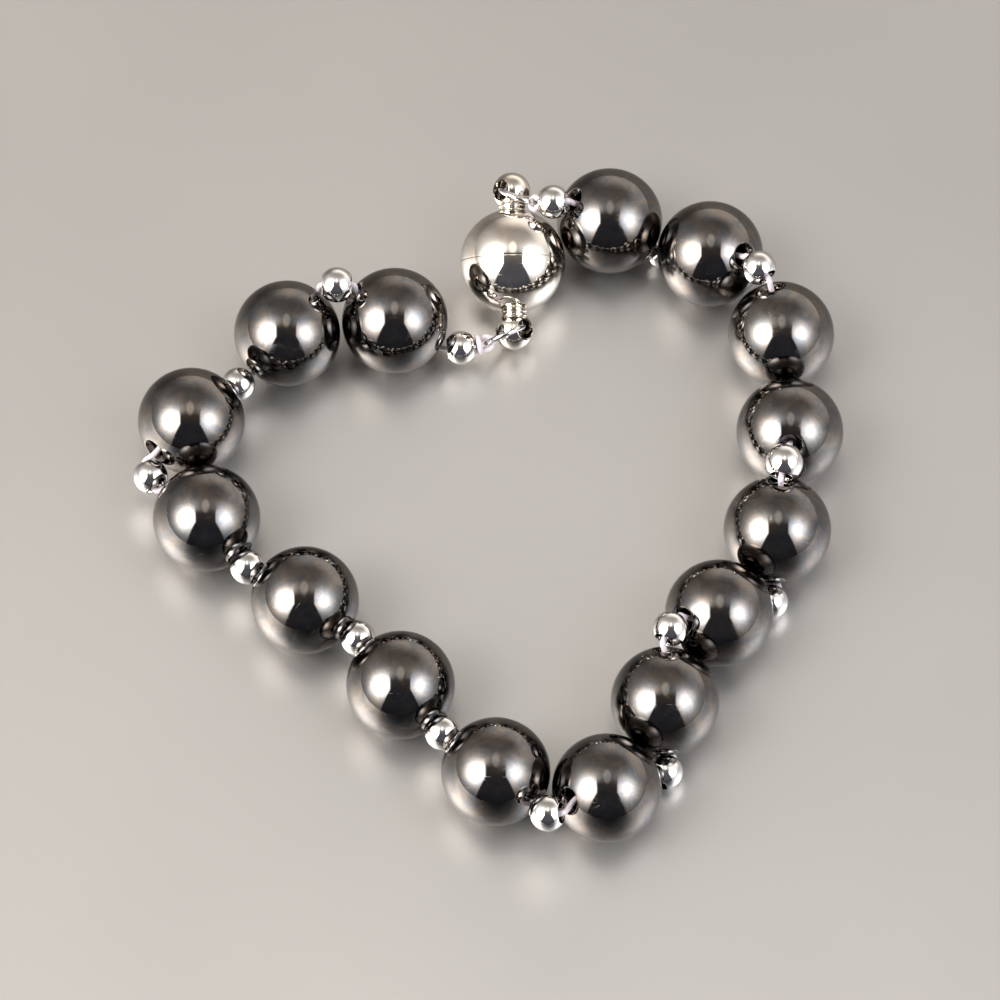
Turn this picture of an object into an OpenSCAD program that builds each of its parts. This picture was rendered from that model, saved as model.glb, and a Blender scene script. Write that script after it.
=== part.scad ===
// Bracelet of drilled hematite beads, with a small metal spacer ball at every joint, on one
// thread tied to the two jump rings of a round magnetic clasp. It lies closed on a table.
// Millimetres, +Z up, the table at Z 0. +Y is the side where the clasp is.

/* [Hematite beads] */
// Diameter of a bead
bead_d = 9.9; // [9.8:0.05:9.9]
// Diameter of the hole through a bead
bead_hole_d = 1.6; // [1.5:0.05:1.6]
// Diameter of the hole's countersunk mouth
bead_mouth_d = 2.5; // [2.4:0.1:2.5]

/* [Spacer balls] */
// Diameter of a spacer's hole, as a share of the spacer's diameter
spacer_hole = 0.56; // [0.55:0.01:0.57]

/* [Clasp] */
// Diameter of the closed clasp's round body
clasp_d = 9.8; // [9.7:0.05:9.8]
// Direction of the clasp's length seen from above, in degrees from +X
clasp_heading = 91; // [90:0.5:92]
// Rise of the clasp's far end, in degrees
clasp_rise = 18.5; // [18:0.5:19]
// Gap between the two magnetic halves
seam = 0.1; // [0.05:0.05:0.2]
// Diameter of the neck behind each half
neck_d = 2.2; // [2:0.1:2.3]
// Thickness of the two rims round the neck
rim_t = 0.42; // [0.36:0.02:0.42]
// Overall diameter of the rims
rim_d = 2.54; // [2.4:0.02:2.54]
// Distance from the clasp's centre to the rim nearer to it
rim_at = 4.72; // [4.7:0.02:4.74]
// Diameter of the ball at each end
end_d = 3.54; // [3.5:0.02:3.54]
// Distance from the clasp's centre to an end ball's centre
end_at = 6.58; // [6.56:0.02:6.62]
// Diameter of the cross hole in an end ball
eye_d = 2; // [1.95:0.05:2]
// Turn of the cross hole about the clasp's length, in degrees from straight up
eye_turn = 44; // [43:0.5:45]

/* [Jump rings] */
// Diameter of a ring on the middle of its wire
ring_d = 3.8; // [3.75:0.05:3.8]
// Thickness of the wire
wire_d = 0.5; // [0.45:0.05:0.5]

/* [Thread] */
// Thickness of the thread
thread_d = 0.54; // [0.5:0.02:0.54]
// Distance between the two strands where the thread is doubled
strand_gap = 0.8; // [0.76:0.02:0.8]
// Diameter of the knot's turn, on the middle of the thread
knot_d = 1.44; // [1.4:0.02:1.5]

/* [Hidden] */
$fn = 48;

// The string, a row for each bead, clockwise from the clasp as seen from above:
// direction of the step to the bead, gap before it, direction and tilt of its hole.
STEP = 0;
GAP = 1;
HOLE = 2;
TILT = 3;
STRING = [
  [24.8, 0.14, -9, -42],
  [-20.2, 0.10, -30, 42],
  [-52.3, 0.68, -76, -45],
  [-86.3, 0.10, -92, 47],
  [-97.6, 0.12, -95, -46],
  [-123.1, 0.10, -151, 36],
  [-120.1, 0.10, -90, -36],
  [-122.1, 0.16, -149, 30],
  [171.0, 0.22, 142, -3],
  [135.5, 2.22, 130, 0],
  [136.3, 2.26, 143, 0],
  [138.0, 2.38, 132, -1],
  [99.2, 0.10, 46, -9],
  [45.8, 2.64, 48, 23],
  [7.5, 0.19, -24, -31]
];

// The spacers, a row for each joint between two neighbours, from the clasp round to it
// again: shift along the joint, distance off its line, side on which the spacer sits
// (0 is up, 90 is outside the loop, 180 is down, -90 is inside), and diameter.
ALONG = 0;
OFF = 1;
SIDE = 2;
SIZE = 3;
SPACERS = [
  [0.10, 4.75, 26, 3.14],
  [0.00, 3.65, 180, 2.36],
  [0.14, 4.37, 17, 3.20],
  [0.00, 3.65, 180, 2.36],
  [0.24, 4.48, -1, 3.50],
  [0.14, 4.25, 141, 3.24],
  [0.06, 4.60, -30, 3.24],
  [-0.30, 4.43, 137, 3.28],
  [-0.31, 4.66, 62, 3.30],
  [0.08, 0.66, 90, 3.24],
  [0.00, 0.64, -90, 3.24],
  [0.05, 1.06, 90, 3.24],
  [0.14, 4.50, 93, 3.20],
  [-0.26, 1.00, -175, 3.12],
  [0.00, 4.64, 32, 3.28],
  [-1.95, 5.02, -110, 3.12]
];

// The jump rings, the far one and then the near one, in the clasp's own directions
// [to the right, towards the far end, upwards]: the ring's centre from its end ball's
// centre, and the direction that the ring faces.
FAR = 0;
NEAR = 1;
RING_AT = [[0.770, -0.590, 0.815], [-0.852, -0.443, 0.824]];
RING_FACES = [[0.338, 0.905, 0.260], [-0.392, 0.914, 0.102]];

BEADS = len(STRING);
JOINTS = len(SPACERS);

function unit(v) = v / norm(v);
function across(v, axis) = v - (v * axis) * axis;
function heading(v) = atan2(v.y, v.x);
function towards(turn, tilt) = [cos(tilt) * cos(turn), cos(tilt) * sin(turn), sin(tilt)];

// Where each ball of the loop lies: 0 is the clasp, 1 to BEADS are the beads.
function radius(i) = (i % JOINTS == 0 ? clasp_d : bead_d) / 2;
function walk(i) = i == 0 ? [0, 0, radius(0)] : walked(i, walk(i - 1));
function walked(i, from) =
  let (row = STRING[i - 1], reach = radius(i - 1) + radius(i) + row[GAP])
  [from.x + reach * cos(row[STEP]), from.y + reach * sin(row[STEP]), radius(i)];
WALK = [for (i = [0 : BEADS]) walk(i)];

// Where each spacer lies, seen from the line between its two neighbours.
function seat(k) =
  let (a = WALK[k], b = WALK[(k + 1) % JOINTS], row = SPACERS[k],
    line = unit(b - a), out = unit(cross([0, 0, 1], line)), up = cross(line, out))
  (a + b) / 2 + row[ALONG] * line + row[OFF] * (cos(row[SIDE]) * up + sin(row[SIDE]) * out);
SEATS = [for (k = [0 : JOINTS - 1]) seat(k)];

// The whole loop is centred over the origin.
function edges(axis, side) = concat(
  [for (p = WALK) p[axis] + side * bead_d / 2],
  [for (k = [0 : JOINTS - 1]) SEATS[k][axis] + side * SPACERS[k][SIZE] / 2]
);
function middle(axis) = (min(edges(axis, -1)) + max(edges(axis, 1))) / 2;
CENTRE = [middle(0), middle(1), 0];
BALL_AT = [for (p = WALK) p - CENTRE];
SPACER_AT = [for (p = SEATS) p - CENTRE];

// The clasp's own directions and its two end balls.
LENGTHWISE = towards(clasp_heading, clasp_rise);
RIGHT = [sin(clasp_heading), -cos(clasp_heading), 0];
UPWARDS = cross(RIGHT, LENGTHWISE);
function clasp_vector(v) = v.x * RIGHT + v.y * LENGTHWISE + v.z * UPWARDS;
function end_ball(end) = BALL_AT[0] + (end == FAR ? 1 : -1) * end_at * LENGTHWISE;
function ring_centre(end) = end_ball(end) + clasp_vector(RING_AT[end]);
function ring_axis(end) = unit(clasp_vector(RING_FACES[end]));

// Where the thread grips each ring: the point of the wire nearest to the end spacer.
function end_spacer(end) = end == FAR ? 0 : JOINTS - 1;
function grip_way(end) =
  unit(across(SPACER_AT[end_spacer(end)] - ring_centre(end), ring_axis(end)));
function grip(end) = ring_centre(end) + ring_d / 2 * grip_way(end);

// Direction of each hole: a bead's is in the table, and a spacer's runs between points
// inside the beads on both sides. An end spacer turns more towards its ring.
// The points lie at this share of the bead's radius.
hole_depth = 0.8;
function bead_way(i) = towards(STRING[i - 1][HOLE], STRING[i - 1][TILT]);
function in_hole(i, side) = BALL_AT[i] + side * hole_depth * bead_d / 2 * bead_way(i);
function before(k) = k == 0 ? grip(FAR) : in_hole(k, 1);
function after(k) = k == JOINTS - 1 ? grip(NEAR) : in_hole(k + 1, -1);
function pull(k, end) = k == end_spacer(end) ? 2.2 : 1;
function spacer_way(k) = unit(
  pull(k, FAR) * unit(SPACER_AT[k] - before(k)) + pull(k, NEAR) * unit(after(k) - SPACER_AT[k])
);
function spacer_half(k) = SPACERS[k][SIZE] / 2 * sqrt(1 - spacer_hole * spacer_hole);
function spacer_face(k, side) = SPACER_AT[k] + side * spacer_half(k) * spacer_way(k);

// The thread's way through a bead: in at one mouth, straight along the hole, out again.
// At a mouth it leans towards the face of the spacer that comes next.
mouth_reach = 0.97 * bead_d / 2;
mouth_lean = 0.6;
mouth_room = 0.55;
function mouth(i, side, face) =
  let (off = across(face - BALL_AT[i], bead_way(i)))
  BALL_AT[i] + side * mouth_reach * bead_way(i) + min(mouth_lean, mouth_room / norm(off)) * off;
function through_bead(i) = concat(
  [mouth(i, -1, spacer_face(i - 1, 1))],
  [for (s = [-0.69, -0.25, 0.25, 0.69]) BALL_AT[i] + s * bead_d / 2 * bead_way(i)],
  [mouth(i, 1, spacer_face(i, -1))]
);

// Through a spacer between two beads, clear of its rims and bowed a little towards the
// side where it sits.
lip_clear = 0.12;
function bow(k) =
  let (away = across(SPACER_AT[k] - (BALL_AT[k] + BALL_AT[k + 1]) / 2, spacer_way(k)))
  min(1, SPACERS[k][OFF] / 4) * unit(away);
function lip_point(k, side) = spacer_face(k, side) + side * lip_clear * spacer_way(k);
function through_spacer(k) =
  [lip_point(k, -1), SPACER_AT[k] + 0.12 * bow(k), lip_point(k, 1)];

// Round a jump ring's wire, from one strand to the other.
wrap_r = (wire_d + thread_d) / 2 + 0.08;
function outer_side(end) = end == FAR ? -1 : 1;
function wrap_along(end) = cross(ring_axis(end), grip_way(end));
function wrap_to(end) =
  unit(across(spacer_face(end_spacer(end), outer_side(end)) - grip(end), wrap_along(end)));
function wrap_up(end) = cross(wrap_along(end), wrap_to(end));
function wrap(end) = [for (t = [75 : 35 : 285])
  grip(end) + wrap_r * (cos(t) * wrap_to(end) + sin(t) * wrap_up(end))];
function strand(end) = unit(across(wrap_up(end), spacer_way(end_spacer(end))));

// The doubled end at a ring, from the single thread inside the end spacer to the thread's
// cut end, which stays hidden in that spacer's hole.
function doubled(end) =
  let (k = end_spacer(end), side = outer_side(end), apart = strand_gap / 2 * strand(end),
    lip = spacer_face(k, side) + side * 0.15 * spacer_way(k))
  concat(
    [SPACER_AT[k] + 0.6 * apart, lip + apart],
    wrap(end),
    [lip - apart, SPACER_AT[k] - 1.1 * apart - side * 0.2 * spacer_way(k)]
  );
function backwards(list) = [for (j = [len(list) - 1 : -1 : 0]) list[j]];

WAYPOINTS = concat(
  backwards(doubled(FAR)),
  [spacer_face(0, 1) + [0, 0, 0.17]],
  [for (i = [1 : BEADS]) each concat(
    through_bead(i), i < BEADS ? through_spacer(i) : [spacer_face(i, -1)])],
  doubled(NEAR)
);

// A smooth curve through the waypoints, each stretch in the given number of steps.
function curve(a, b, c, d, t) =
  (2 * b + (c - a) * t + (2 * a - 5 * b + 4 * c - d) * t * t
  + (3 * b - a - 3 * c + d) * t * t * t) / 2;
function smooth(way, steps) = concat(
  [for (j = [0 : len(way) - 2], s = [0 : steps - 1]) curve(
    way[max(j - 1, 0)], way[j], way[j + 1], way[min(j + 2, len(way) - 1)], s / steps)],
  [way[len(way) - 1]]
);

function numbered(stem, i) = str(stem, i < 10 ? "_0" : "_", i);

// Moves its children so that their +Z points along the given way.
module point_along(at, way) {
  translate(at)
    rotate([0, acos(way.z), heading(way)])
      children();
}

// Hole along Z with a 45 degree countersink at each end.
module countersunk_hole() {
  cylinder(d = bead_hole_d, h = bead_d + 1, center = true);
  mouth_z = sqrt(pow(bead_d, 2) - pow(bead_mouth_d, 2)) / 2;
  tip_z = mouth_z - bead_mouth_d / 2;
  for (end = [0, 1])
    mirror([0, 0, end])
      translate([0, 0, tip_z + 0.3])
        cylinder(r1 = 0.3, r2 = bead_mouth_d / 2 + 0.7, h = mouth_z - tip_z + 0.4);
}

module bead(i) {
  color("dimgray")
    point_along(BALL_AT[i], bead_way(i))
      difference() {
        sphere(d = bead_d);
        countersunk_hole();
      }
}

module spacer(k) {
  size = SPACERS[k][SIZE];
  color("silver")
    point_along(SPACER_AT[k], spacer_way(k))
      difference() {
        sphere(d = size);
        cylinder(d = spacer_hole * size, h = size + 1, center = true);
      }
}

// One half of the clasp with its seam at Z 0 and its end ball above.
module clasp_half() {
  difference() {
    union() {
      intersection() {
        sphere(d = clasp_d);
        translate([0, 0, seam / 2])
          cylinder(d = clasp_d + 2, h = clasp_d);
      }
      translate([0, 0, clasp_d / 4])
        cylinder(d = neck_d, h = end_at - clasp_d / 4);
      for (z = [rim_at, rim_at + rim_t])
        translate([0, 0, z])
          rotate_extrude()
            translate([(rim_d - rim_t) / 2, 0])
              circle(d = rim_t);
      translate([0, 0, end_at])
        sphere(d = end_d);
    }
    translate([0, 0, end_at])
      rotate([0, 90, -eye_turn])
        cylinder(d = eye_d, h = end_d + 1, center = true);
  }
}

// The two halves are alike: the near one is the far one turned round to face it.
module placed_half(end) {
  side = end == FAR ? 1 : -1;
  x = UPWARDS;
  y = side * RIGHT;
  z = side * LENGTHWISE;
  at = BALL_AT[0];
  color("gainsboro")
    multmatrix([
      [x.x, y.x, z.x, at.x],
      [x.y, y.y, z.y, at.y],
      [x.z, y.z, z.z, at.z],
      [0, 0, 0, 1]
    ])
      clasp_half();
}

module clasp_half_far() placed_half(FAR);

module clasp_half_near() placed_half(NEAR);

module jump_ring(end) {
  color("silver")
    point_along(ring_centre(end), ring_axis(end))
      rotate_extrude()
        translate([ring_d / 2, 0])
          circle(d = wire_d);
}

module jump_ring_far() jump_ring(FAR);

module jump_ring_near() jump_ring(NEAR);

// A round strand along a path, as rings of points carried from one station to the next.
module strand_along(path, d, sides) {
  last = len(path) - 1;
  ways = [for (i = [0 : last]) unit(path[min(i + 1, last)] - path[max(i - 1, 0)])];
  firsts = carried(ways, 0, [0, 0, 1]);
  points = [for (i = [0 : last], j = [0 : sides - 1])
    let (t = 360 * j / sides)
    path[i] + d / 2 * (cos(t) * firsts[i] + sin(t) * cross(ways[i], firsts[i]))];
  walls = [for (i = [0 : last - 1], j = [0 : sides - 1])
    let (a = i * sides + j, b = i * sides + (j + 1) % sides)
    [a, a + sides, b + sides, b]];
  polyhedron(points, concat(
    [[for (j = [0 : sides - 1]) j]],
    walls,
    [[for (j = [sides - 1 : -1 : 0]) last * sides + j]]
  ));
}

function carried(ways, i, first) =
  i == len(ways) ? [] :
  let (next = unit(across(first, ways[i])))
  concat([next], carried(ways, i + 1, next));

// The turn of the knot round the two strands, between the near ring and its spacer.
knot_steps = 12;
KNOT_WAY = unit(SPACER_AT[JOINTS - 1] - grip(NEAR));
KNOT_AT = grip(NEAR) + knot_d / 2 * KNOT_WAY;
KNOT_UP = unit(across([0, 0, 1], KNOT_WAY));
function knot_point(j) =
  let (t = 360 * j / knot_steps)
  KNOT_AT + knot_d / 2 * (cos(t) * KNOT_UP + sin(t) * cross(KNOT_WAY, KNOT_UP));

module thread_bit(at) {
  translate(at)
    sphere(d = thread_d, $fn = 8);
}

module thread() {
  color("thistle")
    union() {
      strand_along(smooth(WAYPOINTS, 2), thread_d, 8);
      for (j = [1 : knot_steps])
        hull() {
          thread_bit(knot_point(j - 1));
          thread_bit(knot_point(j));
        }
    }
}

for (i = [1 : BEADS])
  bead(i);
for (k = [1 : JOINTS])
  spacer(k - 1);
clasp_half_far();
clasp_half_near();
jump_ring_far();
jump_ring_near();
thread();
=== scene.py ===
"""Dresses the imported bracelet: polished hematite beads, metal spacer balls, a round magnetic
clasp, two jump rings and the thread, lying on a pale satin table in a soft studio."""

import math

import bmesh
import bpy
from bpy.props import FloatProperty, FloatVectorProperty, IntProperty, PointerProperty
from mathutils import Matrix, Vector


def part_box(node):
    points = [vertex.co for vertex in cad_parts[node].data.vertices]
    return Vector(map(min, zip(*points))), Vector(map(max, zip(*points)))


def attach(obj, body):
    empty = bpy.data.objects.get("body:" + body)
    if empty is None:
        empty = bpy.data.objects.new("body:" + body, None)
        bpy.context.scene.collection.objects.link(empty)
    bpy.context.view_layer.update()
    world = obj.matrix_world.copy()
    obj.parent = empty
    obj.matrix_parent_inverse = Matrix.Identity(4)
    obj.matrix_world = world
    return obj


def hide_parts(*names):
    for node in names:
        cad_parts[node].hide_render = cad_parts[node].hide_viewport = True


bl_info = {
    "name": "Hematite bracelet",
    "version": (1, 0, 0),
    "blender": (4, 5, 0),
    "location": "3D View > Sidebar > Bracelet",
    "description": "Models the beads, spacers, clasp, jump rings and thread of a bracelet",
    "category": "Object",
}

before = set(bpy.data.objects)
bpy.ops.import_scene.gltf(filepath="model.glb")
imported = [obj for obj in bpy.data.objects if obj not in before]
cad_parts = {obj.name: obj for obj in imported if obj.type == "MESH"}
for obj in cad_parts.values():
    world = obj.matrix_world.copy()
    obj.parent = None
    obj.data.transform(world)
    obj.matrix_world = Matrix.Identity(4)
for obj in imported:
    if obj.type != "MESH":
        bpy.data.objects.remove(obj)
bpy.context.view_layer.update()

MM = 0.001
FAR, NEAR = 0, 1
UP = Vector((0, 0, 1))

# Direction from +X and tilt of each bead's hole, in degrees, clockwise from the clasp.
BEAD_HOLES = (
    (-9, -42),
    (-30, 42),
    (-76, -45),
    (-92, 47),
    (-95, -46),
    (-151, 36),
    (-90, -36),
    (-149, 30),
    (142, -3),
    (130, 0),
    (143, 0),
    (132, -1),
    (46, -9),
    (48, 23),
    (-24, -31),
)
BEADS = len(BEAD_HOLES)
JOINTS = BEADS + 1

# The far ring and then the near one, in the clasp's directions (right, lengthwise, up):
# the centre from its end ball's centre in millimetres, and the direction that it faces.
RING_PLACES = ((0.770, -0.590, 0.815), (-0.852, -0.443, 0.824))
RING_FACES = ((0.338, 0.905, 0.260), (-0.392, 0.914, 0.102))

# What the mottling of the polished metals multiplies their red, green and blue by.
WARM_SHIFT = (1.25, 1.12, 1.0)
COOL_SHIFT = (0.8, 0.85, 0.9)


# Where things are


def middle(node):
    low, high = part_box(node)
    return (low + high) / 2


def widest(node):
    low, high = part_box(node)
    return max(high - low)


def bead_node(i):
    return f"bead_{i:02d}"


def spacer_node(k):
    return f"spacer_{k + 1:02d}"


def direction(turn, tilt):
    """The unit vector at so many degrees from +X and so many above the table."""
    turn, tilt = math.radians(turn), math.radians(tilt)
    level = math.cos(tilt)
    return Vector((level * math.cos(turn), level * math.sin(turn), math.sin(tilt)))


def across(v, axis):
    """What is left of v at right angles to axis."""
    return v - v.dot(axis) * axis


def frame_of(at, x, y, z):
    """The matrix that takes a piece from its own axes to these, with its origin at a point."""
    return Matrix.Translation(at) @ Matrix((x, y, z)).transposed().to_4x4()


def pointing(at, way):
    """The matrix that moves a piece to a point and turns its +Z along a way."""
    return Matrix.Translation(at) @ UP.rotation_difference(way).to_matrix().to_4x4()


class Layout:
    """The bracelet's directions and points, read from the frame and the sizes."""

    def __init__(self, sizes):
        self.sizes = sizes
        far, near = middle("clasp_half_far"), middle("clasp_half_near")
        self.clasp = (far + near) / 2
        self.balls = [self.clasp] + [middle(bead_node(i)) for i in range(1, BEADS + 1)]
        self.spacers = [middle(spacer_node(k)) for k in range(JOINTS)]
        turn, rise = math.degrees(sizes.clasp_turn), math.degrees(sizes.clasp_rise)
        self.lengthwise = direction(turn, rise)
        self.right = direction(turn - 90, 0)
        self.upwards = self.right.cross(self.lengthwise)

    def clasp_vector(self, v):
        return v[0] * self.right + v[1] * self.lengthwise + v[2] * self.upwards

    def end_sign(self, end):
        return 1 if end == FAR else -1

    def ring_centre(self, end):
        ball = self.clasp + self.end_sign(end) * self.sizes.end_at * self.lengthwise
        return ball + MM * self.clasp_vector(RING_PLACES[end])

    def ring_axis(self, end):
        return self.clasp_vector(RING_FACES[end]).normalized()

    def end_spacer(self, end):
        return 0 if end == FAR else JOINTS - 1

    def grip_way(self, end):
        to_spacer = self.spacers[self.end_spacer(end)] - self.ring_centre(end)
        return across(to_spacer, self.ring_axis(end)).normalized()

    def grip(self, end):
        return self.ring_centre(end) + self.sizes.ring_d / 2 * self.grip_way(end)

    def bead_way(self, i):
        return direction(*BEAD_HOLES[i - 1])

    def in_hole(self, i, side):
        depth = self.sizes.hole_depth * self.sizes.bead_d / 2
        return self.balls[i] + side * depth * self.bead_way(i)

    def spacer_way(self, k):
        before = self.grip(FAR) if k == 0 else self.in_hole(k, 1)
        after = self.grip(NEAR) if k == JOINTS - 1 else self.in_hole(k + 1, -1)
        pull = self.sizes.end_pull
        back = (self.spacers[k] - before).normalized() * (pull if k == 0 else 1)
        ahead = (after - self.spacers[k]).normalized() * (pull if k == JOINTS - 1 else 1)
        return (back + ahead).normalized()

    def spacer_face(self, k, side):
        hole = self.sizes.spacer_hole
        half = widest(spacer_node(k)) / 2 * math.sqrt(1 - hole * hole)
        return self.spacers[k] + side * half * self.spacer_way(k)

    # The thread's way.

    def mouth(self, i, side, face):
        s, way, at = self.sizes, self.bead_way(i), self.balls[i]
        off = across(face - at, way)
        lean = min(s.mouth_lean, s.mouth_room / off.length) * off
        return at + side * s.mouth_reach * s.bead_d / 2 * way + lean

    def through_bead(self, i):
        way, radius = self.bead_way(i), self.sizes.bead_d / 2
        inside = [self.balls[i] + s * radius * way for s in (-0.69, -0.25, 0.25, 0.69)]
        start = self.mouth(i, -1, self.spacer_face(i - 1, 1))
        return [start, *inside, self.mouth(i, 1, self.spacer_face(i, -1))]

    def through_spacer(self, k):
        between = (self.balls[k] + self.balls[k + 1]) / 2
        away = across(self.spacers[k] - between, self.spacer_way(k))
        off = (self.spacers[k] - between).length
        bow = 0.12 * MM * min(1, off / (4 * MM)) * away.normalized()
        clear = self.sizes.lip_clear * self.spacer_way(k)
        first, last = self.spacer_face(k, -1) - clear, self.spacer_face(k, 1) + clear
        return [first, self.spacers[k] + bow, last]

    def doubled(self, end):
        """Out of the end spacer, round the jump ring's wire and back into the spacer."""
        s, k = self.sizes, self.end_spacer(end)
        side, grip = -self.end_sign(end), self.grip(end)
        along = self.ring_axis(end).cross(self.grip_way(end))
        face, way = self.spacer_face(k, side), self.spacer_way(k)
        toward = across(face - grip, along).normalized()
        up = along.cross(toward)
        apart = s.strand_gap / 2 * across(up, way).normalized()
        lip = face + side * 0.15 * MM * way
        radius = (s.wire_d + s.thread_d) / 2 + 0.08 * MM
        wrap = [
            grip + radius * (math.cos(t) * toward + math.sin(t) * up)
            for t in map(math.radians, range(75, 286, 35))
        ]
        start = [self.spacers[k] + 0.6 * apart, lip + apart]
        cut_end = self.spacers[k] - 1.1 * apart - side * 0.2 * MM * way
        return [*start, *wrap, lip - apart, cut_end]

    def thread_points(self):
        points = self.doubled(FAR)[::-1]
        points.append(self.spacer_face(0, 1) + Vector((0, 0, 0.17 * MM)))
        for i in range(1, BEADS + 1):
            points += self.through_bead(i)
            points += self.through_spacer(i) if i < BEADS else [self.spacer_face(i, -1)]
        return points + self.doubled(NEAR)

    def knot_points(self, steps=48):
        """One turn round the two strands, beside the near ring's spacer."""
        s, grip = self.sizes, self.grip(NEAR)
        way = (self.spacers[JOINTS - 1] - grip).normalized()
        at, up = grip + s.knot_d / 2 * way, across(UP, way).normalized()
        side = way.cross(up)
        turns = [2 * math.pi * j / steps for j in range(steps)]
        return [at + s.knot_d / 2 * (math.cos(t) * up + math.sin(t) * side) for t in turns]


def smooth_path(points, steps):
    """A smooth curve through all the points, each stretch in so many steps."""
    path = []
    last = len(points) - 1
    for j in range(last):
        a, b = points[max(j - 1, 0)], points[j]
        c, d = points[j + 1], points[min(j + 2, last)]
        for n in range(steps):
            t = n / steps
            bend = (c - a) * t + (2 * a - 5 * b + 4 * c - d) * t**2
            path.append(b + (bend + (3 * b - a - 3 * c + d) * t**3) / 2)
    return path + [points[-1]]


# Modelling helpers


def start_clean():
    if bpy.context.object and bpy.context.object.mode != "OBJECT":
        bpy.ops.object.mode_set(mode="OBJECT")
    bpy.ops.object.select_all(action="DESELECT")


def only(obj):
    start_clean()
    obj.select_set(True)
    bpy.context.view_layer.objects.active = obj


def pick(obj, kind, wanted):
    """In edit mode, selects just the vertices, edges or faces for which wanted is true."""
    bpy.ops.mesh.select_mode(type=kind)
    bpy.ops.mesh.select_all(action="DESELECT")
    mesh = bmesh.from_edit_mesh(obj.data)
    parts = {"VERT": mesh.verts, "EDGE": mesh.edges, "FACE": mesh.faces}[kind]
    for part in parts:
        if wanted(part):
            part.select_set(True)
    bmesh.update_edit_mesh(obj.data)


def turned(name, outline, steps, closed):
    """A solid turned about Z from its outline, a list of (radius, height) points that is
    drawn by pulling one vertex from point to point."""
    start_clean()
    bpy.ops.mesh.primitive_plane_add(size=MM)
    obj = bpy.context.object
    obj.name = name
    bpy.ops.object.mode_set(mode="EDIT")
    bpy.ops.mesh.select_all(action="SELECT")
    bpy.ops.mesh.merge(type="CENTER")
    bpy.ops.transform.translate(value=(outline[0][0], 0, outline[0][1]))
    for (r0, z0), (r1, z1) in zip(outline, outline[1:]):
        bpy.ops.mesh.extrude_region_move(
            TRANSFORM_OT_translate={"value": (r1 - r0, 0, z1 - z0)}
        )
    if closed:
        first, last = (Vector((r, 0, z)) for r, z in (outline[0], outline[-1]))
        pick(obj, "VERT", lambda v: min((v.co - first).length, (v.co - last).length) < 1e-7)
        bpy.ops.mesh.edge_face_add()
    bpy.ops.mesh.select_all(action="SELECT")
    bpy.ops.mesh.spin(steps=steps, angle=2 * math.pi, center=(0, 0, 0), axis=(0, 0, 1))
    bpy.ops.mesh.select_all(action="SELECT")
    bpy.ops.mesh.remove_doubles(threshold=1e-6)
    bpy.ops.mesh.normals_make_consistent(inside=False)
    bpy.ops.object.mode_set(mode="OBJECT")
    return obj


def round_edges(obj, width, segments=3, angle=30):
    """Rounds every edge that is sharper than the angle, and shades the piece smooth."""
    only(obj)
    bevel = obj.modifiers.new("rounded", "BEVEL")
    bevel.width = width
    bevel.segments = segments
    bevel.limit_method = "ANGLE"
    bevel.angle_limit = math.radians(angle)
    bpy.ops.object.modifier_apply(modifier=bevel.name)
    bpy.ops.object.shade_smooth()


def drill(obj, cutter):
    """Cuts the cutter's shape out of the piece and throws the cutter away."""
    only(obj)
    cut = obj.modifiers.new("drilled", "BOOLEAN")
    cut.operation = "DIFFERENCE"
    cut.solver = "EXACT"
    cut.object = cutter
    bpy.ops.object.modifier_apply(modifier=cut.name)
    bpy.data.objects.remove(cutter)


def copy_of(model, name):
    piece = model.copy()
    piece.data = model.data.copy()
    piece.name = name
    bpy.context.scene.collection.objects.link(piece)
    return piece


def settle(piece, place, node, material):
    """Moves the piece to its place for good, gives it its finish, hides the CAD node that it stands
    in for and hangs it on the root body.
    """
    piece.matrix_world = place
    only(piece)
    bpy.ops.object.transform_apply(location=True, rotation=True, scale=True)
    piece.data.materials.clear()
    piece.data.materials.append(material)
    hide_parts(node)
    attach(piece, "root")
    return piece


def cord_mesh(name, path, radius, sides, closed, lobes, twist):
    """A cord along a path, its section a round with shallow lobes that twist on the way."""
    mesh = bmesh.new()
    uv = mesh.loops.layers.uv.new("strand")
    last = len(path) - 1
    rings, side, length, lengths = [], Vector((0, 0, 1)), 0.0, []
    for i, at in enumerate(path):
        after = path[(i + 1) % len(path)] if closed else path[min(i + 1, last)]
        before = path[i - 1] if closed or i else path[0]
        way = (after - before).normalized()
        side = across(side, way).normalized()
        up = way.cross(side)
        if i:
            length += (at - path[i - 1]).length
        lengths.append(length)
        ring = []
        for j in range(sides):
            t = 2 * math.pi * j / sides
            r = radius * (1 - 0.035 * (1 - math.cos(lobes * t - twist * length)))
            ring.append(mesh.verts.new(at + r * (math.cos(t) * side + math.sin(t) * up)))
        rings.append(ring)
    spans = len(path) if closed else last
    for i in range(spans):
        a, b = rings[i], rings[(i + 1) % len(path)]
        for j in range(sides):
            n = (j + 1) % sides
            face = mesh.faces.new((a[j], a[n], b[n], b[j]))
            around = (j / sides, (j + 1) / sides, (j + 1) / sides, j / sides)
            ahead = lengths[i], lengths[i], lengths[i] + radius, lengths[i] + radius
            for loop, u, v in zip(face.loops, around, ahead):
                loop[uv].uv = (u, v / (8 * radius))
    if not closed:
        mesh.faces.new(rings[0][::-1])
        mesh.faces.new(rings[-1])
    bmesh.ops.recalc_face_normals(mesh, faces=mesh.faces)
    data = bpy.data.meshes.new(name)
    mesh.to_mesh(data)
    mesh.free()
    obj = bpy.data.objects.new(name, data)
    bpy.context.scene.collection.objects.link(obj)
    only(obj)
    bpy.ops.object.shade_smooth()
    return obj


# Materials


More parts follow.
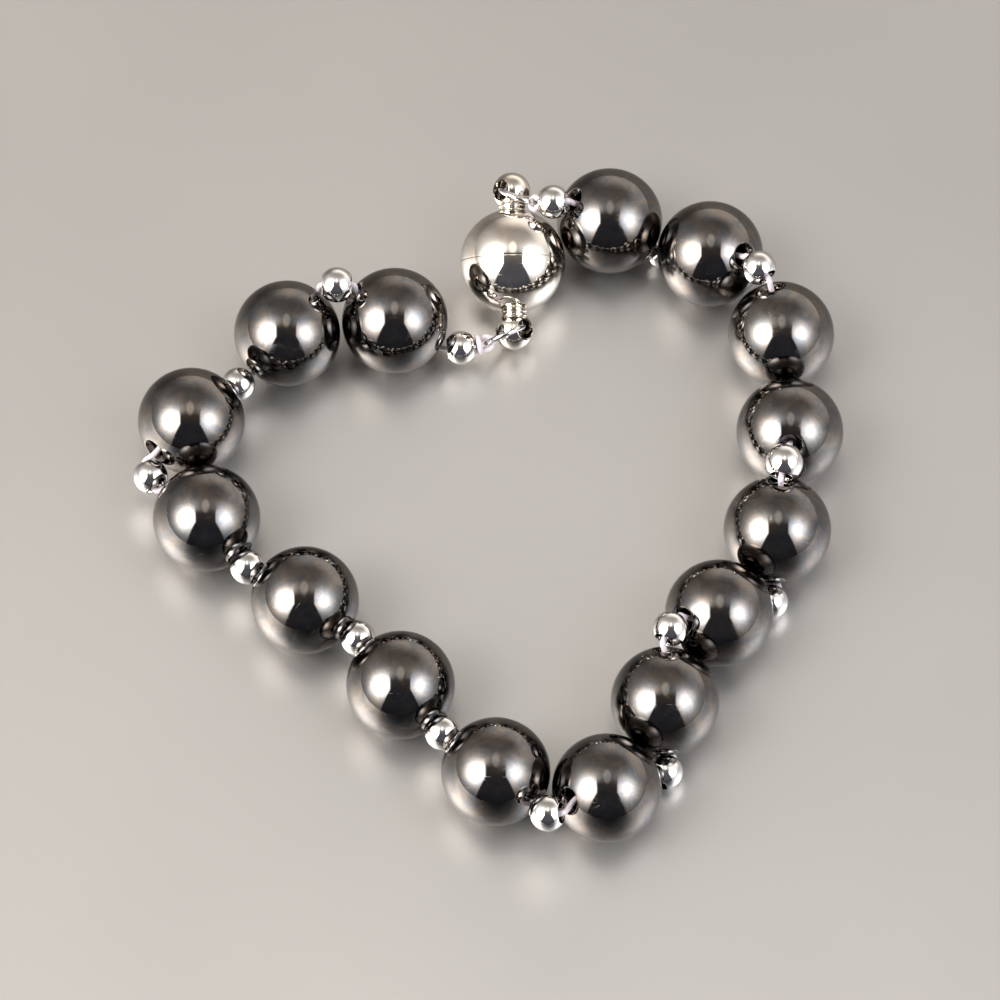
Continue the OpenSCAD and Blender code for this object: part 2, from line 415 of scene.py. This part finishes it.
class Shading:
    """A node tree to which nodes and links are added in one line each."""

    def __init__(self, tree):
        self.tree = tree
        tree.nodes.clear()

    def add(self, kind, inputs=(), **settings):
        node = self.tree.nodes.new(kind)
        for key, value in settings.items():
            setattr(node, key, value)
        for key, value in dict(inputs).items():
            if isinstance(value, bpy.types.NodeSocket):
                self.tree.links.new(value, node.inputs[key])
            else:
                node.inputs[key].default_value = value
        return node

    def math(self, operation, a, b=0.0, c=0.0, clamp=False):
        inputs = {0: a, 1: b, 2: c}
        return self.add("ShaderNodeMath", inputs, operation=operation, use_clamp=clamp).outputs[0]

    def dot(self, a, b):
        return self.add("ShaderNodeVectorMath", {0: a, 1: b}, operation="DOT_PRODUCT").outputs[
            "Value"
        ]

    def ramp(self, value, low, high, to_low=0.0, to_high=1.0):
        """The value's stretch from low to high, smoothed, mapped onto another stretch."""
        inputs = {"Value": value, 1: low, 2: high, 3: to_low, 4: to_high}
        node = self.add("ShaderNodeMapRange", inputs, interpolation_type="SMOOTHSTEP")
        return node.outputs["Result"]

    def mix(self, share, a, b):
        node = self.add("ShaderNodeMix", {0: share}, data_type="RGBA")
        for index, value in ((6, a), (7, b)):
            if isinstance(value, bpy.types.NodeSocket):
                self.tree.links.new(value, node.inputs[index])
            else:
                node.inputs[index].default_value = (*value[:3], 1)
        return node.outputs[2]

    def noise(self, coordinates, scale, detail=2.0, rough=0.5, distortion=0.0):
        inputs = {
            "Vector": coordinates,
            "Scale": scale,
            "Detail": detail,
            "Roughness": rough,
            "Distortion": distortion,
        }
        return self.add("ShaderNodeTexNoise", inputs).outputs[0]

    def stretched(self, coordinates, turn, scale):
        """The coordinates, turned and then scaled."""
        inputs = {"Vector": coordinates, "Rotation": turn, "Scale": [1 / c for c in scale]}
        return self.add("ShaderNodeMapping", inputs, vector_type="TEXTURE").outputs[0]


def new_material(name):
    material = bpy.data.materials.new(name)
    material.use_nodes = True
    return material, Shading(material.node_tree)


def hairlines(shading, place, turn, fine):
    """Thin straight lines, broken into short lengths, such as polishing leaves."""
    long_way = shading.stretched(place, turn, (fine / 30, fine, fine / 30))
    lines = shading.noise(long_way, 1.0, detail=1.0)
    return shading.ramp(lines, 0.66, 0.74)


def shifted(colour, shift, part):
    """The colour, each channel multiplied by its shift, or by a part of that shift."""
    return [c * (1 + part * (by - 1)) for c, by in zip(colour, shift)]


def polished_metal(name, colour, roughness, haze, wear_size, line_share, mottle, edge=0.75):
    """Mirror-polished metal with faint mottling, dull patches and hairline scratches."""
    material, s = new_material(name)
    place = s.add("ShaderNodeTexCoord").outputs["Object"]
    patches = s.ramp(s.noise(place, wear_size, 4.0, 0.6, 0.4), 0.52, 0.72)
    lines = s.math(
        "MAXIMUM",
        hairlines(s, place, (0.3, 0.9, 0.2), 9000),
        hairlines(s, place, (1.2, -0.4, 1.1), 7000),
    )
    lines = s.math("MULTIPLY", lines, s.ramp(s.noise(place, wear_size * 2.3), 0.5, 0.66))
    faded, bright = s.math("MULTIPLY", patches, 0.45), s.math("MULTIPLY", lines, line_share)
    dull = s.math("MAXIMUM", faded, bright)
    rough = s.math("MULTIPLY_ADD", dull, haze, roughness)
    cloud = s.ramp(s.noise(place, 1.7 * wear_size, 6.0, 0.65, 0.8), 0.35, 0.65)
    cool, warm = (shifted(colour, shift, mottle) for shift in (COOL_SHIFT, WARM_SHIFT))
    tint = s.mix(cloud, cool, warm)
    tint = s.mix(s.math("MULTIPLY", dull, 0.5), tint, [min(1, 1.35 * c) for c in colour])
    relief = s.math("MULTIPLY_ADD", s.noise(place, 2.6 * wear_size, 3.0), mottle, lines)
    bump = s.add("ShaderNodeBump", {"Strength": 0.2, "Distance": 0.002 * MM, "Height": relief})
    shader = s.add(
        "ShaderNodeBsdfPrincipled",
        {
            "Base Color": tint,
            "Metallic": 1.0,
            "Roughness": rough,
            "Specular Tint": (edge, edge, edge, 1),
            "Normal": bump.outputs[0],
        },
    )
    s.add("ShaderNodeOutputMaterial", {"Surface": shader.outputs[0]})
    return material


def elastic(name, colour):
    """Pale translucent elastic thread, its fibres running along it."""
    material, s = new_material(name)
    along = s.add("ShaderNodeUVMap", uv_map="strand").outputs[0]
    fibres = s.noise(s.stretched(along, (0, 0, 0), (18, 1.2, 1)), 1.0, 3.0)
    shade = s.ramp(fibres, 0.3, 0.7)
    tint = s.mix(shade, [0.82 * c for c in colour], colour)
    bump = s.add("ShaderNodeBump", {"Strength": 0.35, "Distance": 0.02 * MM, "Height": fibres})
    shader = s.add(
        "ShaderNodeBsdfPrincipled",
        {
            "Base Color": tint,
            "Roughness": 0.5,
            "Specular IOR Level": 0.3,
            "Subsurface Weight": 0.6,
            "Subsurface Radius": (1.0, 0.75, 0.8),
            "Subsurface Scale": 0.4 * MM,
            "Normal": bump.outputs[0],
        },
    )
    s.add("ShaderNodeOutputMaterial", {"Surface": shader.outputs[0]})
    return material


def table_top(name, studio):
    """Pale satin sheet with a soft cloudiness and fine stray scratches."""
    material, s = new_material(name)
    place = s.add("ShaderNodeTexCoord").outputs["Object"]
    cloud = s.ramp(s.noise(place, 22, 3.0), 0.3, 0.7)
    pale = tuple(studio.table_colour)
    tone = s.mix(cloud, pale, [0.95 * c for c in pale])
    bent = s.add("ShaderNodeTexNoise", {"Vector": place, "Scale": 120}).outputs[1]
    bent = s.add("ShaderNodeVectorMath", {0: bent, 3: 1.5 * MM}, operation="SCALE").outputs[0]
    bent = s.add("ShaderNodeVectorMath", {0: place, 1: bent}, operation="ADD").outputs[0]
    scratch = 0.0
    for turn in (0.3, 1.9, 2.6):
        layer = s.noise(s.stretched(bent, (0, 0, turn), (170, 17000, 1)), 1.0, detail=0.0)
        patch = s.ramp(s.noise(place, 170 + 60 * turn, 0.0), 0.46, 0.64)
        layer = s.math("MULTIPLY", s.ramp(layer, 0.69, 0.79), patch)
        scratch = s.math("MAXIMUM", scratch, layer)
    reach = s.add("ShaderNodeVectorMath", {0: place}, operation="LENGTH").outputs["Value"]
    outer = s.ramp(reach, 26 * MM, 40 * MM, 1, 0.1)
    inner = s.math("MULTIPLY", s.ramp(reach, 8 * MM, 20 * MM, 0.3), outer)
    scratch = s.math("MULTIPLY", scratch, inner)
    satin, matt = (
        s.add(
            "ShaderNodeBsdfAnisotropic",
            {"Color": tone, "Roughness": roughness},
            distribution="BECKMANN",
        ).outputs[0]
        for roughness in (studio.table_roughness, studio.haze_roughness)
    )
    dull = s.math("MULTIPLY_ADD", scratch, studio.scratches, studio.table_haze)
    mixed = s.add("ShaderNodeMixShader", {0: dull, 1: satin, 2: matt})
    s.add("ShaderNodeOutputMaterial", {"Surface": mixed.outputs[0]})
    return material


# What a user would change


def size(name, description, default):
    return FloatProperty(
        name=name, description=description, default=default * MM, unit="LENGTH", precision=5
    )


def share(name, description, default):
    return FloatProperty(name=name, description=description, default=default, min=0)


def angle(name, description, degrees):
    return FloatProperty(
        name=name, description=description, default=math.radians(degrees), subtype="ANGLE"
    )


def colour(name, description, default):
    return FloatVectorProperty(
        name=name, description=description, default=default, subtype="COLOR", min=0, max=1
    )


class BraceletSizes(bpy.types.PropertyGroup):
    bead_d: size("Bead", "Diameter of a hematite bead", 9.9)
    bead_hole_d: size("Bead hole", "Diameter of the hole through a bead", 1.6)
    bead_mouth_d: size("Bead mouth", "Diameter of the hole's countersunk mouth", 2.5)
    spacer_hole: share("Spacer hole", "Hole of a spacer, as a share of its diameter", 0.56)
    clasp_d: size("Clasp", "Diameter of the closed clasp's round body", 9.8)
    clasp_turn: angle("Clasp turn", "Direction of the clasp's length from +X", 91)
    clasp_rise: angle("Clasp rise", "Rise of the clasp's far end", 18.5)
    seam: size("Seam", "Gap between the two magnetic halves", 0.05)
    neck_d: size("Neck", "Diameter of the neck behind each half", 2.2)
    rim_t: size("Rim thickness", "Thickness of the two rims round the neck", 0.42)
    rim_d: size("Rim", "Overall diameter of the rims", 2.54)
    rim_at: size("Rim place", "Distance from the clasp's centre to its nearer rim", 4.72)
    end_d: size("End ball", "Diameter of the ball at each end of the clasp", 3.54)
    end_at: size("End ball place", "Distance from the clasp's centre to an end ball's", 6.58)
    eye_d: size("Eye", "Diameter of the cross hole in an end ball", 2.0)
    eye_turn: angle("Eye turn", "Turn of the cross hole about the clasp's length", 44)
    ring_d: size("Jump ring", "Diameter of a jump ring on the middle of its wire", 3.8)
    wire_d: size("Ring wire", "Thickness of a jump ring's wire", 0.5)
    thread_d: size("Thread", "Thickness of the thread", 0.54)
    strand_gap: size("Strand gap", "Distance between the two strands of a doubled end", 0.8)
    knot_d: size("Knot", "Diameter of the knot's turn", 1.44)
    end_pull: share("End pull", "How far an end spacer turns towards its jump ring", 2.2)
    hole_depth: share("Hole depth", "Point in a bead's hole that a spacer's hole faces", 0.8)
    mouth_reach: share("Mouth reach", "Where the thread bends, as a share of the bead", 0.97)
    mouth_lean: share("Mouth lean", "How far the thread leans over in a bead's mouth", 0.6)
    mouth_room: size("Mouth room", "The most that it leans over there", 0.55)
    lip_clear: size("Lip clearance", "How far outside a spacer the thread bends", 0.12)


class BraceletFinish(bpy.types.PropertyGroup):
    hematite: colour("Hematite", "Dark metallic grey of the beads", (0.142, 0.136, 0.133))
    spacer: colour("Spacer metal", "Bright plating of the spacers", (0.72, 0.71, 0.70))
    clasp: colour("Clasp metal", "Bright plating of the clasp", (0.73, 0.685, 0.625))
    ring: colour("Ring metal", "Plating of the jump rings", (0.66, 0.66, 0.66))
    thread: colour("Thread", "Pale elastic thread", (0.56, 0.5, 0.525))


class StudioSettings(bpy.types.PropertyGroup):
    elevation: angle("Camera elevation", "Height of the camera above the table", 65.5)
    distance: size("Camera distance", "From the camera to the middle of the bracelet", 620)
    field: angle("Field of view", "Angle that the picture takes in", 8.4797)
    target: FloatVectorProperty(
        name="Camera target",
        description="Point that the camera looks at",
        default=(1.037 * MM, -0.103 * MM, 5.0 * MM),
        unit="LENGTH",
        precision=5,
    )
    table_colour: colour("Table", "Pale warm grey of the table", (0.55, 0.535, 0.518))
    table_roughness: share("Table roughness", "Blur of the table's reflections", 0.36)
    table_haze: share("Table haze", "Share of the table's reflections that is hazy", 0.38)
    haze_roughness: share("Haze roughness", "Blur of that share", 0.6)
    scratches: share("Table scratches", "Share of a scratch that is dull and pale", 0.18)
    room: colour("Room", "Light of the room above and behind", (0.33, 0.288, 0.255))
    wall: colour("Side walls", "Light of the walls around the softboxes", (0.6, 0.58, 0.56))
    strip: colour("Dark strip", "What is dark in front between the softboxes", (0.1, 0.102, 0.12))
    backdrop: colour("Backdrop", "Light of the low bright backdrop behind", (1.0, 0.94, 0.88))
    backdrop_strength: share("Backdrop strength", "Radiance of that backdrop", 1.45)
    backdrop_height: share("Backdrop height", "Height, as a sine, where it ends", 0.7)
    window: colour("Window", "Light of the small window overhead", (1.0, 0.95, 0.85))
    window_strength: share("Window strength", "Radiance of that window", 1.3)
    dusk: share("Dusk", "Share of the room's light that is left at the table's height", 0.6)
    dusk_height: share("Dusk height", "Height, as a sine, above which the room is fully lit", 0.5)
    strip_width: share("Dark strip's width", "Half width of the dark strip overhead", 0.36)
    strip_turn: angle("Dark strip's turn", "Where the strip's edges stand in front", 36)
    lamp: share("Softbox strength", "Radiance in the middle of a softbox", 22)
    lamp_balance: share("Softbox balance", "The right softbox's strength over the left's", 0.42)
    lamp_size: angle("Softbox size", "Half width of a softbox's hot middle", 18)
    halo: share("Halo", "Strength of the glow round a softbox's hot middle", 0.1)
    halo_size: share("Halo size", "Width of that glow over the hot middle's", 1.6)
    lamp_swing: angle("Softbox swing", "How far each softbox stands to the side", 66)
    lamp_height: angle("Softbox height", "Height of each softbox above the table", 43)
    table_steps: IntProperty(
        name="Table detail", description="Corners of the round table top", default=96, min=12
    )


# Pieces


def drilled_ball(name, radius, hole, mouth, rings, steps, rounding):
    """A ball with a hole along Z. The mouth's radius is the hole's plus its countersink."""
    mouth_z = math.sqrt(radius**2 - mouth**2)
    start = math.asin(mouth / radius)
    sweep = [start + (math.pi - 2 * start) * j / rings for j in range(rings + 1)]
    outline = [(radius * math.sin(t), radius * math.cos(t)) for t in sweep]
    bore_z = mouth_z - (mouth - hole)
    if mouth > hole:
        outline += [(hole, -bore_z), (hole, bore_z)]
    else:
        outline += [(hole, 0)]
    ball = turned(name, outline, steps, closed=True)
    round_edges(ball, rounding)
    return ball


class BRACELET_OT_beads(bpy.types.Operator):
    """Models one drilled and polished hematite bead and copies it to each bead's place"""

    bl_idname = "bracelet.beads"
    bl_label = "Hematite beads"

    def execute(self, context):
        sizes, finish = context.scene.bracelet_sizes, context.scene.bracelet_finish
        layout = Layout(sizes)
        hematite = polished_metal(
            "hematite",
            tuple(finish.hematite),
            roughness=0.05,
            haze=0.36,
            wear_size=420,
            line_share=0.8,
            mottle=1.0,
        )
        model = drilled_ball(
            "bead_model",
            sizes.bead_d / 2,
            sizes.bead_hole_d / 2,
            sizes.bead_mouth_d / 2,
            rings=72,
            steps=128,
            rounding=0.09 * MM,
        )
        for i in range(1, BEADS + 1):
            piece = copy_of(model, f"polished_{bead_node(i)}")
            place = pointing(layout.balls[i], layout.bead_way(i))
            settle(piece, place, bead_node(i), hematite)
        bpy.data.objects.remove(model)
        return {"FINISHED"}


class BRACELET_OT_spacers(bpy.types.Operator):
    """Models a drilled metal ball for each joint of the string, at its own size"""

    bl_idname = "bracelet.spacers"
    bl_label = "Spacer balls"

    def execute(self, context):
        sizes, finish = context.scene.bracelet_sizes, context.scene.bracelet_finish
        layout = Layout(sizes)
        metal = polished_metal(
            "spacer_metal",
            tuple(finish.spacer),
            roughness=0.035,
            haze=0.2,
            wear_size=900,
            line_share=0.4,
            mottle=0.3,
        )
        hole = sizes.spacer_hole
        model = drilled_ball(
            "spacer_model", MM, hole * MM, hole * MM, rings=40, steps=72, rounding=0.05 * MM
        )
        for k in range(JOINTS):
            piece = copy_of(model, f"polished_{spacer_node(k)}")
            grown = Matrix.Scale(widest(spacer_node(k)) / 2 / MM, 4)
            place = pointing(layout.spacers[k], layout.spacer_way(k)) @ grown
            settle(piece, place, spacer_node(k), metal)
        bpy.data.objects.remove(model)
        return {"FINISHED"}


def clasp_outline(s):
    """Radius and height of half of the clasp, from the seam out over body, neck and ball."""
    body, end, rim = s.clasp_d / 2, s.end_d / 2, s.rim_t / 2
    ring_r = s.rim_d / 2 - rim
    rims = (s.rim_at, s.rim_at + s.rim_t)

    def radius(z):
        found = [s.neck_d / 2 if z < s.end_at else 0]
        found.append(math.sqrt(max(0, body**2 - z**2)))
        found.append(math.sqrt(max(0, end**2 - (z - s.end_at) ** 2)))
        found += [ring_r + math.sqrt(rim**2 - (z - at) ** 2) for at in rims if abs(z - at) < rim]
        return max(found)

    body_top, neck_top = s.rim_at - 1.3 * rim, s.rim_at + 3.4 * s.rim_t / 2
    first = math.asin(s.seam / 2 / body)
    last = math.asin(body_top / body)
    heights = [body * math.sin(first + (last - first) * j / 44) for j in range(45)]
    heights += [body_top + (neck_top - body_top) * j / 40 for j in range(1, 41)]
    low = math.asin((neck_top - s.end_at) / end)
    heights += [s.end_at + end * math.sin(low + (math.pi / 2 - low) * j / 40) for j in range(1, 40)]
    middle_of_seam = [(0, s.seam / 2)]
    return middle_of_seam + [(radius(z), z) for z in heights] + [(0, s.end_at + end)]


class BRACELET_OT_clasp(bpy.types.Operator):
    """Turns one half of the round magnetic clasp, drills its eye and sets both halves"""

    bl_idname = "bracelet.clasp"
    bl_label = "Magnetic clasp"

    def execute(self, context):
        sizes, finish = context.scene.bracelet_sizes, context.scene.bracelet_finish
        layout = Layout(sizes)
        metal = polished_metal(
            "clasp_metal",
            tuple(finish.clasp),
            roughness=0.05,
            haze=0.22,
            wear_size=380,
            line_share=0.6,
            mottle=0.3,
        )
        model = turned("clasp_model", clasp_outline(sizes), 128, closed=False)
        start_clean()
        bpy.ops.mesh.primitive_cylinder_add(
            vertices=72,
            radius=sizes.eye_d / 2,
            depth=sizes.end_d + MM,
            location=(0, 0, sizes.end_at),
            rotation=(0, math.pi / 2, -sizes.eye_turn),
        )
        drill(model, bpy.context.object)
        round_edges(model, 0.05 * MM, angle=35)
        for end, node in ((FAR, "clasp_half_far"), (NEAR, "clasp_half_near")):
            sign = layout.end_sign(end)
            piece = copy_of(model, f"polished_{node}")
            place = frame_of(
                layout.clasp, layout.upwards, sign * layout.right, sign * layout.lengthwise
            )
            settle(piece, place, node, metal)
        bpy.data.objects.remove(model)
        return {"FINISHED"}


class BRACELET_OT_jump_rings(bpy.types.Operator):
    """Bends one jump ring from round wire, with its cut, and hangs it in each eye"""

    bl_idname = "bracelet.jump_rings"
    bl_label = "Jump rings"

    def execute(self, context):
        sizes, finish = context.scene.bracelet_sizes, context.scene.bracelet_finish
        layout = Layout(sizes)
        metal = polished_metal(
            "ring_metal",
            tuple(finish.ring),
            roughness=0.07,
            haze=0.2,
            wear_size=900,
            line_share=0.5,
            mottle=0.3,
        )
        cut = 0.03 * MM / (sizes.ring_d / 2)
        start_clean()
        bpy.ops.mesh.primitive_circle_add(
            vertices=24,
            radius=sizes.wire_d / 2,
            location=(sizes.ring_d / 2, 0, 0),
            rotation=(math.pi / 2, 0, 0),
        )
        model = bpy.context.object
        bpy.ops.object.transform_apply(location=True, rotation=True, scale=True)
        bpy.ops.object.mode_set(mode="EDIT")
        bpy.ops.mesh.select_all(action="SELECT")
        bpy.ops.mesh.spin(
            steps=120, angle=2 * math.pi - cut, center=(0, 0, 0), axis=(0, 0, 1)
        )
        pick(model, "EDGE", lambda e: len(e.link_faces) == 1)
        bpy.ops.mesh.edge_face_add()
        bpy.ops.mesh.select_all(action="SELECT")
        bpy.ops.mesh.normals_make_consistent(inside=False)
        bpy.ops.object.mode_set(mode="OBJECT")
        round_edges(model, 0.03 * MM, segments=2, angle=60)
        for end, node in ((FAR, "jump_ring_far"), (NEAR, "jump_ring_near")):
            axis, back = layout.ring_axis(end), -layout.grip_way(end)
            piece = copy_of(model, f"bent_{node}")
            place = frame_of(layout.ring_centre(end), back, axis.cross(back), axis)
            settle(piece, place, node, metal)
        bpy.data.objects.remove(model)
        return {"FINISHED"}


class BRACELET_OT_thread(bpy.types.Operator):
    """Runs the thread through every hole and round both jump rings, and ties its knot"""

    bl_idname = "bracelet.thread"
    bl_label = "Thread and knot"

    def execute(self, context):
        sizes, finish = context.scene.bracelet_sizes, context.scene.bracelet_finish
        layout = Layout(sizes)
        pale = elastic("thread", tuple(finish.thread))
        radius, turns = sizes.thread_d / 2, 2 * math.pi / (3 * MM)
        path = smooth_path(layout.thread_points(), 8)
        strand = cord_mesh("elastic_thread", path, radius, 20, False, 5, turns)
        knot = cord_mesh("thread_knot", layout.knot_points(), radius, 20, True, 5, 0)
        for piece in (strand, knot):
            settle(piece, Matrix.Identity(4), "thread", pale)
        return {"FINISHED"}


class BRACELET_OT_stage(bpy.types.Operator):
    """Lays the table top, lights the studio and sets the camera"""

    bl_idname = "bracelet.stage"
    bl_label = "Table, light and camera"

    def execute(self, context):
        studio = context.scene.bracelet_studio
        start_clean()
        bpy.ops.mesh.primitive_circle_add(
            vertices=studio.table_steps, radius=3, fill_type="NGON"
        )
        table = bpy.context.object
        table.name = "table_top"
        table.data.materials.append(table_top("table_top", studio))
        self.light(context.scene, studio)
        self.camera(context.scene, studio)
        context.scene.view_settings.view_transform = "Standard"
        return {"FINISHED"}

    def light(self, scene, studio):
        """A softbox with a hot middle at each side, bright side walls, a low bright backdrop
        behind, a small window overhead, and a dark strip from the front up over the middle."""
        scene.world = bpy.data.worlds.new("studio")
        scene.world.use_nodes = True
        s = Shading(scene.world.node_tree)
        way = s.add("ShaderNodeTexCoord").outputs["Generated"]
        split = s.add("ShaderNodeSeparateXYZ", {0: way}).outputs
        aside = s.math("ABSOLUTE", split[0])
        spread = math.tan(studio.strip_turn)
        edge = s.math("MAXIMUM", studio.strip_width, s.math("MULTIPLY", split[1], -spread))
        open_side = s.ramp(s.math("SUBTRACT", aside, edge), -0.03, 0.04)
        room = tuple(studio.room)
        strip = s.mix(s.ramp(split[1], -0.65, -0.1), tuple(studio.strip), [0.7 * c for c in room])
        left, right = tuple(studio.wall), [1.5 * c for c in studio.wall]
        wall = s.mix(s.ramp(split[0], 0.35, 0.8), left, right)
        wall = s.mix(s.ramp(aside, 0.35, 0.9), room, wall)
        clear = s.math("MAXIMUM", open_side, s.ramp(split[1], -0.25, 0.2))
        light = s.mix(clear, strip, wall)
        low = s.ramp(split[2], -0.05, studio.dusk_height, studio.dusk, 1.0)
        light = s.mix(low, (0, 0, 0), light)
        behind = s.math("MULTIPLY", s.ramp(split[1], 0.1, 0.6), s.ramp(split[0], -0.5, 0.1))
        behind = s.math("MULTIPLY", behind, s.ramp(split[2], 0.2, studio.backdrop_height, 1, 0))
        light = s.mix(behind, light, [studio.backdrop_strength * c for c in studio.backdrop])
        window = [studio.window_strength * c for c in studio.window]
        light = s.mix(self.overhead(s, split), light, window)
        total = s.add("ShaderNodeBackground", {"Color": light}).outputs[0]
        tints = (1, 0.985, 0.96, 1), (0.9, 0.94, 1, 1)
        for side, strength, tint in zip((-1, 1), (1.0, studio.lamp_balance), tints):
            glow = self.softbox(s, studio, way, side)
            glow = s.math("MULTIPLY", s.math("MULTIPLY", glow, clear), studio.lamp * strength)
            lamp = s.add("ShaderNodeBackground", {"Color": tint, "Strength": glow})
            total = s.add("ShaderNodeAddShader", {0: total, 1: lamp.outputs[0]}).outputs[0]
        s.add("ShaderNodeOutputWorld", {"Surface": total})

    def overhead(self, s, split):
        """1 in the window overhead and 0 elsewhere, with a soft edge."""
        x = s.math("POWER", s.math("DIVIDE", split[0], 0.14), 2)
        y = s.math("POWER", s.math("MULTIPLY_ADD", split[1], 4.0, -0.2), 2)
        inside = s.ramp(s.math("SQRT", s.math("ADD", x, y)), 0.6, 1.3, 1, 0)
        return s.math("MULTIPLY", inside, s.math("GREATER_THAN", split[2], 0))

    def softbox(self, s, studio, way, side):
        """A glow that fades evenly from its middle, a little taller than it is wide."""
        swing = math.degrees(studio.lamp_swing)
        aim = direction(-90 + side * swing, math.degrees(studio.lamp_height))
        level = aim.cross(UP).normalized()
        upright = level.cross(aim)
        wide, tall = math.sin(studio.lamp_size), 1.05 * math.sin(studio.lamp_size)
        x = s.math("POWER", s.math("DIVIDE", s.dot(way, level), wide), 2)
        y = s.math("POWER", s.math("DIVIDE", s.dot(way, upright), tall), 2)
        out = s.math("ADD", x, y)
        middle_glow = s.math("EXPONENT", s.math("MULTIPLY", out, -1))
        halo = s.math("EXPONENT", s.math("MULTIPLY", out, -1 / studio.halo_size**2))
        fall = s.math("MULTIPLY_ADD", halo, studio.halo, middle_glow)
        return s.math("MULTIPLY", fall, s.math("GREATER_THAN", s.dot(way, aim), 0))

    def camera(self, scene, studio):
        data = bpy.data.cameras.new("camera")
        data.sensor_width = 36
        data.angle = studio.field
        data.clip_start = 0.01
        camera = bpy.data.objects.new("camera", data)
        scene.collection.objects.link(camera)
        back = direction(-90, math.degrees(studio.elevation))
        camera.location = Vector(studio.target) + studio.distance * back
        camera.rotation_euler = (math.pi / 2 - studio.elevation, 0, 0)
        scene.camera = camera


STEPS = (
    BRACELET_OT_stage,
    BRACELET_OT_beads,
    BRACELET_OT_spacers,
    BRACELET_OT_clasp,
    BRACELET_OT_jump_rings,
    BRACELET_OT_thread,
)


class BRACELET_PT_panel(bpy.types.Panel):
    """Lists the bracelet's pieces, sizes and finishes"""

    bl_label = "Bracelet"
    bl_idname = "BRACELET_PT_panel"
    bl_space_type = "VIEW_3D"
    bl_region_type = "UI"
    bl_category = "Bracelet"

    def draw(self, context):
        for step in STEPS:
            self.layout.operator(step.bl_idname)
        for group in ("bracelet_sizes", "bracelet_finish", "bracelet_studio"):
            settings = getattr(context.scene, group)
            box = self.layout.box()
            for name in settings.__annotations__:
                box.prop(settings, name)


GROUPS = {
    "bracelet_sizes": BraceletSizes,
    "bracelet_finish": BraceletFinish,
    "bracelet_studio": StudioSettings,
}
CLASSES = (*GROUPS.values(), *STEPS, BRACELET_PT_panel)


def register():
    for cls in CLASSES:
        bpy.utils.register_class(cls)
    for name, group in GROUPS.items():
        setattr(bpy.types.Scene, name, PointerProperty(type=group))


def unregister():
    for name in GROUPS:
        delattr(bpy.types.Scene, name)
    for cls in reversed(CLASSES):
        bpy.utils.unregister_class(cls)


def main():
    register()
    for step in STEPS:
        group, name = step.bl_idname.split(".")
        getattr(getattr(bpy.ops, group), name)()


if __name__ == "__main__":
    main()
